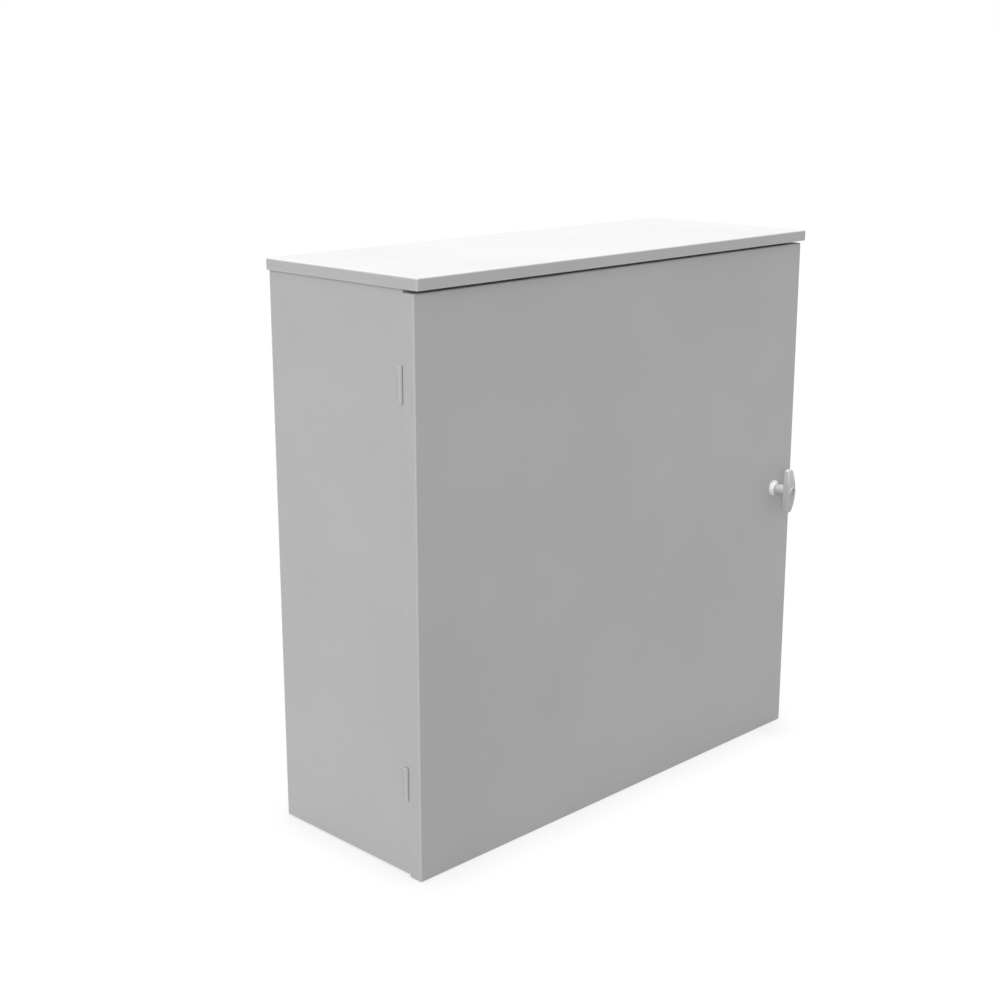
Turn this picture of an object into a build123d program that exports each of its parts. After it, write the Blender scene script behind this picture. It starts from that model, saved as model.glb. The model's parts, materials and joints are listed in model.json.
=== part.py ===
from build123d import *
import os

# Hinged-cover rainproof electrical enclosure for a wall, in millimetres.
# +X is right as seen from the front, +Y points back to the wall and +Z is up.
# The origin is the centre of the four wall holes, on the outside of the back.

# Sheet steel of the box, the cover and the drip shield
sheet = 1.52
bend_radius = 1.9
seam = 0.3

# Box
body_width = 762.0
body_depth = 274.9
overall_height = 771.0
rim_width = 22.0
rim_seam_inset = 4.0
wall_hole_inset = 25.4
wall_hole_rise = 29.9
wall_hole_radius = 5.5
drain_hole_radius = 3.2
drain_hole_inset = 60.0

# Cover
side_gap = 1.8
front_gap = 0.9
bottom_gap = 0.5
flange_depth = 20.2
cover_corner_radius = 2.2

# Rain gutter and drip shield
shield_skirt = 15.2
shield_overhang = 7.4
shield_side_overhang = 0.7
shield_back_gap = 0.6
shield_end_width = 5.0
cover_to_shield = 4.0
gutter_gap = 1.0
riser_gap = 2.1
header_drop = 24.0
top_back_flange = 15.0

# Lift-off hinges
hinge_rise = 128.8
knuckle_height = 22.5
knuckle_radius = 3.5
knuckle_chamfer = 0.2
knuckle_gap = 0.75
axial_gap = 0.3
leaf = 1.3
leaf_bend_radius = 2.6
leaf_length = 24.0
leaf_setback = 4.5
pin_fit = 0.05
pin_head_radius = 3.0
pin_head_height = 0.9
pin_tip_height = 0.8
pin_recess = 2.0
slot_gap = 0.4

# Latch: rosette, washer and locknut, fixed to the cover
latch_inset = 42.3
latch_rise = 1.2
rosette_radius = 12.0
rosette_edge = 1.8
rosette_height = 6.2
rosette_neck_radius = 8.3
rosette_bell_shares = (0.24, 0.30)
rosette_lip = 0.9
thread_radius = 9.0
thread_flats = 16.0
thread_length = 10.0
thread_fit = 0.1
latch_washer_radius = 13.0
latch_washer_height = 1.0
locknut_flats = 23.0
locknut_height = 4.0

# Latch: handle, lock plug and cam, which turn
grip_length = 66.0
grip_end_width = 10.6
grip_middle_width = 16.4
grip_end_height = 6.4
grip_middle_height = 11.4
grip_stand_off = 23.6
grip_corner = 4.0
grip_edge = 1.3
stem_radius = 7.8
journal_radius = 6.0
turning_fit = 0.05
shoulder_gap = 0.3
shaft_side = 8.0
plug_radius = 5.4
plug_length = 13.0
plug_recess = 1.0
plug_rim = 0.3
plug_collar_radius = 6.6
plug_collar_height = 0.8
keyway_width = 1.3
keyway_length = 6.6
keyway_depth = 8.0
cam_sheet = 2.5
cam_width = 16.0
cam_reach = 30.0
cam_heel = 9.0
cam_bend_start = 11.0
cam_bend_radius = 4.0
cam_tip_gap = 0.56
cam_fit = 0.05
cam_washer_radius = 8.0
cam_washer_height = 1.2
bolt_radius = 3.0
bolt_length = 11.0
bolt_head_flats = 10.0
bolt_head_height = 4.0

# Mounting panel on collar studs
panel_side_margin = 38.0
panel_end_margin = 42.5
panel_sheet = 1.9
panel_flange = 12.7
panel_bend_radius = 3.4
panel_corner_radius = 4.0
panel_stand_off = 19.0
stud_inset = 23.0
stud_radius = 4.0
stud_collar_radius = 7.0
stud_length = 13.0
stud_hole_fit = 0.5
nut_fit = 0.1
panel_nut_flats = 13.0
panel_nut_height = 6.5
panel_washer_radius = 8.5
panel_washer_height = 1.6

# Bonding stud
ground_stud_radius = 3.2
ground_stud_length = 22.0
ground_stud_rise = 135.5
ground_nut_flats = 11.0
ground_nut_height = 5.5
ground_washer_radius = 7.0
ground_washer_height = 1.2

# Cuts run past the faces that they pass through by this much
overrun = 5.0

# Planes and places worked out from the sizes above
half_body = body_width / 2
wall_inside = half_body - sheet
rim_front = -body_depth
cover_front = rim_front - front_gap - sheet
cover_back = cover_front + flange_depth
half_cover = half_body + side_gap + sheet
cover_bottom = -overall_height / 2
body_bottom = cover_bottom + sheet + bottom_gap
shield_top = overall_height / 2
body_top = shield_top - sheet
half_shield = half_cover + shield_side_overhang
cover_top = shield_top - shield_skirt - cover_to_shield
gutter_top = cover_top - sheet - gutter_gap
riser_front = cover_back + riser_gap
header_bottom = gutter_top - header_drop
sill_top = body_bottom + rim_width
back_inside = -sheet

hinge_x = sheet + leaf - half_cover - knuckle_radius
hinge_y = cover_back + knuckle_gap + knuckle_radius
bore_radius = knuckle_radius - leaf
pin_radius = bore_radius - pin_fit
neck_back = hinge_y + knuckle_radius

latch_x = half_cover - latch_inset
latch_plane = Plane(origin=(latch_x, cover_front, latch_rise), x_dir=(1, 0, 0), z_dir=(0, -1, 0))
journal_end = -sheet - thread_length
cam_face = journal_end - shoulder_gap
cam_tip_face = -sheet - front_gap - sheet - cam_tip_gap
cam_bend_end = cam_bend_start + cam_tip_face - cam_face
cam_back = cam_face - cam_sheet

half_panel_width = half_body - panel_side_margin
half_panel_height = overall_height / 2 - panel_end_margin
panel_back = back_inside - panel_stand_off
panel_front = panel_back - panel_sheet
ground_x = -(wall_inside + half_panel_width) / 2
ground_z = ground_stud_rise - overall_height / 2


def block(low, high):
    """Box between two opposite corners."""
    size = Vector(*high) - Vector(*low)
    return Pos(*((Vector(*low) + Vector(*high)) / 2)) * Box(size.X, size.Y, size.Z)


def folded(plane, points, thickness, radius):
    """Face of a bent strip: a line through the points, thickened to its left."""
    line = [Vector(*p) for p in points]
    along = [(b - a).normalized() for a, b in zip(line, line[1:])]
    left = [Vector(-d.Y, d.X) for d in along]
    other = [line[0] + left[0] * thickness]
    near, far = [], []
    for corner, a, b, d, e in zip(line[1:], left, left[1:], along, along[1:]):
        other.append(corner + (a + b) * (thickness / (1 + a.dot(b))))
        turns_left = d.cross(e).Z > 0
        near.append(radius if turns_left else radius - thickness)
        far.append(radius - thickness if turns_left else radius)
    other.append(line[-1] + left[-1] * thickness)
    rounds = [FilletPolyline(*line, radius=near), FilletPolyline(*other, radius=far)]
    ends = [Line(line[0], other[0]), Line(line[-1], other[-1])]
    return plane * make_face([edge for part in rounds + ends for edge in part.edges()])


def turned(points):
    """Solid of revolution about local Z from points given as radius and height."""
    return revolve(Plane.XZ * make_face(Polyline(*points, close=True).edges()), Axis.Z)


def ring(outer, inner, low, high):
    """Plain ring about local Z."""
    return turned([(inner, low), (outer, low), (outer, high), (inner, high)])


def hexagon(flats, low, high):
    """Hexagonal bar about local Z, with turned corners at its far end."""
    top = high - low
    bar = extrude(RegularPolygon(flats / 2, 6, major_radius=False), top)
    corner = flats / 3**0.5
    rise = corner - flats / 2
    cone = [(0, 0), (corner, 0), (corner, top - rise), (flats / 2, top), (0, top)]
    return Pos(0, 0, low) * (bar & turned(cone))


def rod(radius, low, high):
    """Round bar about local Z."""
    return Pos(0, 0, low) * Cylinder(radius, high - low, align=(Align.CENTER, Align.CENTER, Align.MIN))


def corners(half_width, half_height):
    """The four corners of a rectangle on the back, as X and Z."""
    return [(x, z) for x in (-half_width, half_width) for z in (-half_height, half_height)]


def wall_holes():
    """Places of the holes for the wall bolts."""
    return corners(half_body - wall_hole_inset, overall_height / 2 - wall_hole_rise)


def studs():
    """Places of the panel's studs."""
    return corners(half_panel_width - stud_inset, half_panel_height - stud_inset)


def on_back(x, y, z, shape):
    """Stands a shape made about local Z on the plane at y, pointing to the front."""
    return Plane(origin=(x, y, z), x_dir=(1, 0, 0), z_dir=(0, -1, 0)) * shape


def tray(low, high, open_faces, fold_edges, corner_edges, fold, corner, thickness):
    """Folded pan with welded corners, open on the chosen faces."""
    solid = block(low, high)
    solid = fillet(corner_edges(solid), corner)
    solid = fillet(fold_edges(solid), fold)
    return offset(solid, amount=-thickness, openings=open_faces(solid))


def body_shell():
    """Back and sides from one sheet, folded in at the front to meet the rim's strips."""
    outline = [
        (rim_seam_inset - half_body, rim_front),
        (-half_body, rim_front),
        (-half_body, 0),
        (half_body, 0),
        (half_body, rim_front),
        (half_body - rim_seam_inset, rim_front),
    ]
    outline.reverse()
    face = folded(Plane.XY.offset(body_bottom), outline, sheet, bend_radius)
    shell = extrude(face, body_top - body_bottom)
    past = half_body + overrun
    front = rim_front - overrun
    shell -= block((-past, front, gutter_top), (past, riser_front, body_top + overrun))
    inner_front = rim_front + bend_radius
    sill = (body_bottom - overrun, sill_top + seam)
    header = (header_bottom - seam, gutter_top + overrun)
    for low, high in (sill, header):
        shell -= block((-wall_inside, front, low), (wall_inside, inner_front, high))
    for x, z in wall_holes():
        shell -= on_back(x, overrun, z, rod(wall_hole_radius, 0, sheet + overrun * 2))
    for z in hinge_levels():
        low = z - axial_gap / 2 - knuckle_height - slot_gap
        high = z - axial_gap / 2 + slot_gap
        slot_front = neck_back - leaf - slot_gap
        slot_back = neck_back + leaf_bend_radius - leaf + slot_gap
        shell -= block((-past, slot_front, low), (overrun - wall_inside, slot_back, high))
    return shell


def rim(side):
    """Flat strip that frames one side of the opening, butt welded along the shell's fold."""
    reach = sorted((side * (half_body - rim_width), side * (half_body - rim_seam_inset)))
    low = (reach[0], rim_front, sill_top + seam)
    return block(low, (reach[1], rim_front + sheet, header_bottom - seam))


def top_panel():
    """Top that steps down into a gutter under the cover's top flange."""
    outline = [
        (back_inside, body_top - top_back_flange),
        (back_inside, body_top),
        (riser_front, body_top),
        (riser_front, gutter_top),
        (rim_front, gutter_top),
        (rim_front, header_bottom),
    ]
    panel = extrude(folded(Plane.YZ, outline, sheet, bend_radius), wall_inside, both=True)
    inner_corner = half_body - bend_radius
    for side in (-1, 1):
        low = (side * inner_corner, -bend_radius, body_bottom)
        high = (side * (half_body + overrun), overrun, body_top + overrun)
        panel -= block([min(p) for p in zip(low, high)], [max(p) for p in zip(low, high)])
    return panel


def bottom_panel():
    """Bottom tray whose front wall is the sill, with two drain holes."""
    low = (-wall_inside, rim_front, body_bottom)
    high = (wall_inside, back_inside, sill_top)
    tray_solid = tray(
        low,
        high,
        open_faces=lambda s: s.faces().sort_by(Axis.Z)[-1],
        fold_edges=lambda s: s.faces().sort_by(Axis.Z)[0].edges(),
        corner_edges=lambda s: s.edges().filter_by(Axis.Z),
        fold=bend_radius,
        corner=bend_radius,
        thickness=sheet,
    )
    for side in (-1, 1):
        place = Pos(side * (wall_inside - drain_hole_inset), rim_front + drain_hole_inset, body_bottom)
        tray_solid -= place * rod(drain_hole_radius, -overrun, overrun)
    return tray_solid


def shield_cap():
    """Cap with a front lip and side skirts, open below and behind."""
    low = (-half_shield, cover_front - shield_overhang, shield_top - shield_skirt)
    high = (half_shield, -shield_back_gap, shield_top)
    return tray(
        low,
        high,
        open_faces=lambda s: [s.faces().sort_by(Axis.Z)[0], s.faces().sort_by(Axis.Y)[-1]],
        fold_edges=lambda s: s.faces().sort_by(Axis.Z)[-1].edges().sort_by(Axis.Y)[:-1],
        corner_edges=lambda s: s.edges().filter_by(Axis.Z).group_by(Axis.Y)[0],
        fold=bend_radius,
        corner=cover_corner_radius,
        thickness=sheet,
    )


def drip_shield():
    """Folded top and front lip of the cap, between its ends."""
    middle = half_shield - shield_end_width
    low = (-middle, cover_front - shield_overhang - overrun, cover_top)
    return shield_cap() & block(low, (middle, overrun, shield_top + overrun))


def shield_end(side):
    """Pressed end of the cap with its skirt, butt welded to the top."""
    past = half_shield + overrun
    reach = sorted((side * (half_shield - shield_end_width), side * past))
    low = (reach[0], cover_front - shield_overhang - overrun, cover_top)
    return shield_cap() & block(low, (reach[1], overrun, shield_top + overrun))


def cover():
    """Folded pan that wraps the front of the box, with the latch hole."""
    low = (-half_cover, cover_front, cover_bottom)
    high = (half_cover, cover_back, cover_top)
    pan = tray(
        low,
        high,
        open_faces=lambda s: s.faces().sort_by(Axis.Y)[-1],
        fold_edges=lambda s: s.faces().sort_by(Axis.Y)[0].edges(),
        corner_edges=lambda s: s.edges().filter_by(Axis.Y),
        fold=bend_radius,
        corner=cover_corner_radius,
        thickness=sheet,
    )
    return pan - latch_plane * flatted(thread_fit, -sheet - overrun, overrun)


def hinge_levels():
    """Heights of the hinges' middles, lower one first."""
    level = overall_height / 2 - hinge_rise
    return (-level, level)


def knuckle():
    """Rolled knuckle with chamfered ends, standing on its own foot."""
    inner = knuckle_radius - knuckle_chamfer
    profile = [
        (bore_radius, 0),
        (inner, 0),
        (knuckle_radius, knuckle_chamfer),
        (knuckle_radius, knuckle_height - knuckle_chamfer),
        (inner, knuckle_height),
        (bore_radius, knuckle_height),
    ]
    return turned(profile)


def hinge_cover_leaf(level):
    """Upper knuckle and its leaf, welded inside the cover's left flange."""
    foot = Pos(hinge_x, hinge_y, level + axial_gap / 2)
    edge = hinge_x + knuckle_radius
    low = (edge - leaf, cover_front + sheet + leaf_setback, level + axial_gap / 2 + knuckle_chamfer)
    high = (edge, hinge_y, level + axial_gap / 2 + knuckle_height - knuckle_chamfer)
    return foot * knuckle() + block(low, high)


def hinge_body_leaf(level):
    """Lower knuckle, with a leaf through the side wall and along its inside."""
    foot = level - axial_gap / 2 - knuckle_height
    inside = leaf - wall_inside
    outline = [
        (hinge_x, neck_back - leaf),
        (inside, neck_back - leaf),
        (inside, neck_back + leaf_length),
    ]
    strip = folded(Plane.XY.offset(foot + knuckle_chamfer), outline, leaf, leaf_bend_radius)
    strip = extrude(strip, knuckle_height - knuckle_chamfer * 2)
    strip -= Pos(hinge_x, hinge_y, foot) * rod(bore_radius, 0, knuckle_height)
    return Pos(hinge_x, hinge_y, foot) * knuckle() + strip


def hinge_pin(level):
    """Pin with a low head, fixed in the lower knuckle, its tip inside the upper one."""
    reach = axial_gap / 2 + knuckle_height
    tip = reach - pin_recess
    profile = [
        (0, -reach - pin_head_height),
        (pin_head_radius - pin_head_height / 2, -reach - pin_head_height),
        (pin_head_radius, -reach - pin_head_height / 2),
        (pin_head_radius, -reach),
        (pin_radius, -reach),
        (pin_radius, tip - pin_tip_height),
        (pin_radius - pin_tip_height, tip),
        (0, tip),
    ]
    return Pos(hinge_x, hinge_y, level) * turned(profile)


def flatted(gap, low, high):
    """Threaded barrel with two flats that keep it from turning in the cover."""
    half = thread_flats / 2 + gap
    past = thread_radius + overrun
    return rod(thread_radius + gap, low, high) & block((-half, -past, low), (half, past, high))


def latch_rosette():
    """Bell-shaped rosette with the threaded barrel that the handle turns in."""
    rise, inset = rosette_bell_shares
    waist = (
        rosette_neck_radius + (rosette_radius - rosette_neck_radius) * inset,
        rosette_edge + (rosette_height - rosette_edge) * rise,
    )
    bore = journal_radius + turning_fit
    start = (rosette_radius - rosette_lip, rosette_edge)
    neck = (rosette_neck_radius, rosette_height)
    edges = Polyline(
        neck,
        (bore, rosette_height),
        (bore, 0),
        (rosette_radius, 0),
        (rosette_radius, rosette_edge - rosette_lip),
        start,
    ).edges()
    edges += ThreePointArc(start, waist, neck).edges()
    bell = revolve(Plane.XZ * make_face(edges), Axis.Z)
    barrel = flatted(0, journal_end, 0) - rod(bore, journal_end - overrun, overrun)
    return latch_plane * (bell + barrel)


def latch_washer():
    """Flat washer under the locknut."""
    low = -sheet - latch_washer_height
    return latch_plane * ring(latch_washer_radius, thread_radius + thread_fit, low, -sheet)


def latch_locknut():
    """Thin hexagonal nut that clamps the rosette to the cover."""
    top = -sheet - latch_washer_height
    hole = rod(thread_radius + thread_fit, -overrun, locknut_height + overrun)
    nut = hexagon(locknut_flats, 0, locknut_height) - hole
    return latch_plane * (Pos(0, 0, top) * Rot(180, 0, 0) * nut)


def grip():
    """Lens-shaped grip with a flat back and a crowned front."""
    half = grip_length / 2
    ends = grip_end_width / 2
    middle = grip_middle_width / 2
    outline = ThreePointArc((ends, -half), (middle, 0), (ends, half)).edges()
    outline += Line((ends, half), (-ends, half)).edges()
    outline += ThreePointArc((-ends, half), (-middle, 0), (-ends, -half)).edges()
    outline += Line((-ends, -half), (ends, -half)).edges()
    front = extrude(make_face(outline), grip_middle_height)
    front = fillet(front.edges().filter_by(Axis.Z), grip_corner)
    crown = ThreePointArc((-half, grip_end_height), (0, grip_middle_height), (half, grip_end_height)).edges()
    crown += Polyline((half, grip_end_height), (half, 0), (-half, 0), (-half, grip_end_height)).edges()
    side = extrude(Plane.YZ * make_face(crown), grip_middle_width, both=True)
    solid = front & side
    top_face = solid.faces().sort_by(Axis.Z)[-1]
    return Pos(0, 0, grip_stand_off) * fillet(top_face.edges(), grip_edge)


def t_handle():
    """Grip with its lock collar, stem, journal and square shaft in one casting."""
    shoulder = rosette_height + shoulder_gap
    crown = grip_stand_off + grip_middle_height
    front = crown + plug_collar_height
    plug_floor = crown - plug_recess - plug_length
    handle = grip() + rod(stem_radius, shoulder, grip_stand_off) + rod(journal_radius, cam_face, shoulder)
    shaft_end = cam_back + cam_fit
    half_side = shaft_side / 2
    handle += block((-half_side, -half_side, shaft_end), (half_side, half_side, cam_face))
    handle += rod(plug_collar_radius, grip_stand_off, front)
    bore = plug_radius + turning_fit
    handle -= rod(bore, plug_floor, front + overrun)
    wide = bore + plug_rim
    past = front + overrun
    seat = front - plug_rim
    handle -= turned([(0, seat), (bore, seat), (wide, front), (wide, past), (0, past)])
    handle -= rod(bolt_radius, shaft_end - overrun, shaft_end + bolt_length)
    return latch_plane * handle


def lock_plug():
    """Key cylinder with its keyway."""
    top = grip_stand_off + grip_middle_height - plug_recess
    plug = rod(plug_radius, top - plug_length, top)
    half_length = keyway_length / 2
    half_width = keyway_width / 2
    plug -= block((-half_width, -half_length, top - keyway_depth), (half_width, half_length, top + overrun))
    return latch_plane * plug


def latch_cam():
    """Joggled cam that hangs on the square shaft, pointing up when released."""
    outline = [
        (-cam_heel, cam_face),
        (cam_bend_start, cam_face),
        (cam_bend_end, cam_tip_face),
        (cam_reach, cam_tip_face),
    ]
    outline.reverse()
    cam = extrude(folded(Plane.YZ, outline, cam_sheet, cam_bend_radius), cam_width / 2, both=True)
    ends = [e for e in cam.edges().filter_by(Axis.Z) if abs(e.center().X) > cam_width / 2 - seam]
    cam = fillet(ends, cam_width / 2 - cam_sheet)
    half = shaft_side / 2 + cam_fit
    cam -= block((-half, -half, cam_back - overrun), (half, half, cam_face + seam))
    return latch_plane * cam


def cam_washer():
    """Washer between the cam and the bolt's head."""
    low = cam_back - cam_washer_height
    return latch_plane * ring(cam_washer_radius, bolt_radius + cam_fit, low, cam_back)


def cam_bolt():
    """Hexagonal bolt that holds the cam on the shaft."""
    seat = cam_back - cam_washer_height
    head = Pos(0, 0, seat) * Rot(180, 0, 0) * hexagon(bolt_head_flats, 0, bolt_head_height)
    return latch_plane * (head + rod(bolt_radius - cam_fit, seat, cam_back + bolt_length))


def back_panel():
    """Mounting panel with edges folded back, on four studs."""
    low = (-half_panel_width, panel_front, -half_panel_height)
    high = (half_panel_width, panel_back + panel_flange, half_panel_height)
    panel = tray(
        low,
        high,
        open_faces=lambda s: s.faces().sort_by(Axis.Y)[-1],
        fold_edges=lambda s: s.faces().sort_by(Axis.Y)[0].edges(),
        corner_edges=lambda s: s.edges().filter_by(Axis.Y),
        fold=panel_bend_radius,
        corner=panel_corner_radius,
        thickness=panel_sheet,
    )
    hole = rod(stud_radius + stud_hole_fit, 0, panel_stand_off + panel_sheet + overrun)
    for x, z in studs():
        panel -= on_back(x, back_inside, z, hole)
    return panel


def panel_stud(x, z):
    """Collar stud welded to the back."""
    stud = rod(stud_collar_radius, 0, panel_stand_off)
    stud += rod(stud_radius, 0, panel_stand_off + panel_sheet + stud_length)
    return on_back(x, back_inside, z, stud)


def panel_washer(x, z):
    """Washer on the panel's front."""
    washer = ring(panel_washer_radius, stud_radius + nut_fit, 0, panel_washer_height)
    return on_back(x, panel_front, z, washer)


def panel_nut(x, z):
    """Hexagonal nut on a panel stud."""
    top = panel_washer_height + panel_nut_height
    nut = hexagon(panel_nut_flats, panel_washer_height, top) - rod(stud_radius + nut_fit, 0, top + overrun)
    return on_back(x, panel_front, z, nut)


def ground(shape):
    """Stands a shape on the back, in the space beside the panel."""
    return on_back(ground_x, back_inside, ground_z, shape)


def ground_washer():
    """Washer on the bonding stud."""
    return ground(ring(ground_washer_radius, ground_stud_radius + nut_fit, 0, ground_washer_height))


def ground_nut():
    """Hexagonal nut on the bonding stud, tight on its washer."""
    top = ground_washer_height + ground_nut_height
    hole = rod(ground_stud_radius + nut_fit, 0, top + overrun)
    return ground(hexagon(ground_nut_flats, ground_washer_height, top) - hole)


pieces = {
    "body_shell": [body_shell()],
    "rim_left": [rim(-1)],
    "rim_right": [rim(1)],
    "top_panel": [top_panel()],
    "bottom_panel": [bottom_panel()],
    "drip_shield": [drip_shield()],
    "shield_end_left": [shield_end(-1)],
    "shield_end_right": [shield_end(1)],
    "cover": [cover()],
    "latch_rosette": [latch_rosette()],
    "latch_washer": [latch_washer()],
    "latch_locknut": [latch_locknut()],
    "t_handle": [t_handle()],
    "lock_plug": [lock_plug()],
    "latch_cam": [latch_cam()],
    "cam_washer": [cam_washer()],
    "cam_bolt": [cam_bolt()],
    "back_panel": [back_panel()],
    "panel_studs": [panel_stud(x, z) for x, z in studs()],
    "panel_washers": [panel_washer(x, z) for x, z in studs()],
    "panel_nuts": [panel_nut(x, z) for x, z in studs()],
    "ground_stud": [ground(rod(ground_stud_radius, 0, ground_stud_length))],
    "ground_washer": [ground_washer()],
    "ground_nut": [ground_nut()],
}
for place, level in zip(("lower", "upper"), hinge_levels()):
    pieces["hinge_cover_leaf_" + place] = [hinge_cover_leaf(level)]
    pieces["hinge_body_leaf_" + place] = [hinge_body_leaf(level)]
    pieces["hinge_pin_" + place] = [hinge_pin(level)]

os.makedirs("parts", exist_ok=True)
for name, solids in pieces.items():
    whole = Compound([solid for shape in solids for solid in shape.solids()])
    export_step(whole, f"parts/{name}.step")
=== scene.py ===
"""Looks of a wall-mounted rainproof enclosure with a hinged cover and a T-handle latch.

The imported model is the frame: +X right as seen from the front, +Y back to the wall, +Z up, in metres.
Sheets keep their shape and are painted. Castings, fasteners and welds are surfaces worked out here.
"""

import json
import logging
import math
from collections.abc import Iterable, Sequence
from dataclasses import dataclass, field
from enum import Enum

import bmesh
import bpy
import numpy as np
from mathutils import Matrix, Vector


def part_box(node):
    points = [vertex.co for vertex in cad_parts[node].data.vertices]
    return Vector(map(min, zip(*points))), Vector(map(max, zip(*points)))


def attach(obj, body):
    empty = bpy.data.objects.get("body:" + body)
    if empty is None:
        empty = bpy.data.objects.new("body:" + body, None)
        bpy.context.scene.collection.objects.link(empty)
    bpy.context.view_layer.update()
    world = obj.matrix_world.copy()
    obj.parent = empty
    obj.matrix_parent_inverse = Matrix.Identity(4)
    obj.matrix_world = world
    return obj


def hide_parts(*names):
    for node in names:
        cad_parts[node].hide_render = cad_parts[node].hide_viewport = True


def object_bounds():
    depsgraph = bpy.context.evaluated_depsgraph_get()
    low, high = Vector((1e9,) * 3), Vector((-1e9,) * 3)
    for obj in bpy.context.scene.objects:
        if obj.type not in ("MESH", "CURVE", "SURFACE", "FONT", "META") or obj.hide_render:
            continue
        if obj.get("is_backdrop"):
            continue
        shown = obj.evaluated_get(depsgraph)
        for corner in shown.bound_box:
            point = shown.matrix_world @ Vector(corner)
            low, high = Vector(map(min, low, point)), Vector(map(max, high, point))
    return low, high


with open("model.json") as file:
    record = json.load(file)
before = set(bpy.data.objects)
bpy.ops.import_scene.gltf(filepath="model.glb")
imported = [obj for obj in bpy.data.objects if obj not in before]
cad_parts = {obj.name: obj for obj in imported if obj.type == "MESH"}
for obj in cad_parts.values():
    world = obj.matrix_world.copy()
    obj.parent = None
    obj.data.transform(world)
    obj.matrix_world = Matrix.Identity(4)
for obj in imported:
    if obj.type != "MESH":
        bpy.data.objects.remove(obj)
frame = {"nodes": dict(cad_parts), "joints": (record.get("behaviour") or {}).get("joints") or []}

log = logging.getLogger("enclosure")
TURN = 2 * math.pi
CREASE = math.radians(32)
THREAD_SLACK = 1e-4
TURNING_SLACK = 5e-5


class Body(Enum):
    """Moving groups of the enclosure."""

    BOX = "box"
    COVER = "cover"
    HANDLE = "handle"
    PLUG = "lock_plug"


class Slot(Enum):
    """Material slots of the record that the pieces made here use."""

    PAINT = "grey_paint"
    PLATED = "plated_steel"
    CASTING = "satin_casting"
    LOCK = "lock_steel"
    GREEN = "ground_green"


@dataclass(frozen=True)
class Place:
    """A local frame whose Z points out of the surface that a piece stands on.

    Attributes:
        origin: Where local zero lies.
        x: Local X as a direction of the frame.
        z: Local Z as a direction of the frame.
    """

    origin: Vector
    x: Vector = Vector((1, 0, 0))
    z: Vector = Vector((0, -1, 0))

    def put(self, points: np.ndarray) -> np.ndarray:
        """Moves local points to the frame: origin plus each coordinate times its axis."""
        axes = np.array([self.x, self.z.cross(self.x), self.z])
        return np.array(self.origin) + points @ axes

    def lifted(self, height: float) -> "Place":
        """The same frame, moved along its own Z."""
        return Place(self.origin + self.z * height, self.x, self.z)


@dataclass(frozen=True)
class Patch:
    """A grid of points, joined by quads.

    Attributes:
        points: Array of rows by columns by three.
        closed_rows: Whether the last row joins the first.
        closed_columns: Whether the last column joins the first.
    """

    points: np.ndarray
    closed_rows: bool = False
    closed_columns: bool = True

    def quads(self) -> np.ndarray:
        """Quad i, j joins rows i and i + 1 at columns j and j + 1, counted round where it is closed.

        Returns:
            Array of point numbers, four to a quad.
        """
        rows, columns = self.points.shape[:2]
        i, j = np.meshgrid(
            np.arange(rows - (not self.closed_rows)),
            np.arange(columns - (not self.closed_columns)),
            indexing="ij",
        )
        k = (i + 1) % rows
        n = (j + 1) % columns
        corners = (i * columns + j, k * columns + j, k * columns + n, i * columns + n)
        return np.stack(corners, axis=-1).reshape(-1, 4)


def make_piece(name: str, patches: Sequence[Patch]) -> bpy.types.Object:
    """Joins patches into one mesh piece, with merged seams, outward faces and sharp creases.

    Args:
        name: Name of the piece.
        patches: Grids that make up its surface.

    Returns:
        The new object, at the origin.
    """
    counts = [patch.points.shape[0] * patch.points.shape[1] for patch in patches]
    starts = np.concatenate([[0], np.cumsum(counts)[:-1]])
    points = np.concatenate([patch.points.reshape(-1, 3) for patch in patches])
    quads = np.concatenate([patch.quads() + start for patch, start in zip(patches, starts)])
    mesh = bpy.data.meshes.new(name)
    mesh.vertices.add(len(points))
    mesh.vertices.foreach_set("co", points.ravel())
    mesh.loops.add(quads.size)
    mesh.loops.foreach_set("vertex_index", quads.ravel())
    mesh.polygons.add(len(quads))
    mesh.polygons.foreach_set("loop_start", np.arange(0, quads.size, 4))
    mesh.update(calc_edges=True)
    work = bmesh.new()
    work.from_mesh(mesh)
    bmesh.ops.remove_doubles(work, verts=work.verts, dist=1e-7)
    bmesh.ops.recalc_face_normals(work, faces=work.faces)
    work.to_mesh(mesh)
    work.free()
    mesh.polygons.foreach_set("use_smooth", np.ones(len(mesh.polygons), bool))
    mesh.set_sharp_from_angle(angle=CREASE)
    piece = bpy.data.objects.new(name, mesh)
    bpy.context.scene.collection.objects.link(piece)
    return piece


def around(columns: int) -> np.ndarray:
    """Angles of evenly spaced columns round an axis, as one row in radians."""
    return np.linspace(0, TURN, columns, endpoint=False)[None, :]


def arc(start: float, end: float, steps: int) -> np.ndarray:
    """Evenly spaced angles in radians, from a start to an end in degrees."""
    return np.radians(np.linspace(start, end, steps))


def column(*values: float) -> np.ndarray:
    """Values as one column of a grid."""
    return np.array(values, float)[:, None]


def polar(radius: np.ndarray, angle: np.ndarray, height: np.ndarray) -> np.ndarray:
    """Points about local Z from broadcast grids: X is r cos t, Y is r sin t and Z is the height."""
    r, t, h = np.broadcast_arrays(radius, angle, height)
    return np.stack([r * np.cos(t), r * np.sin(t), h], axis=-1)


Profile = Sequence[tuple[float, float]]


def turned(place: Place, profile: Profile, closed: bool = False, columns: int = 72) -> Patch:
    """Turns a profile of radius and height about local Z: each of its points becomes a circle."""
    radius, height = np.array(profile).T
    return Patch(place.put(polar(radius[:, None], around(columns), height[:, None])), closed_rows=closed)


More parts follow.
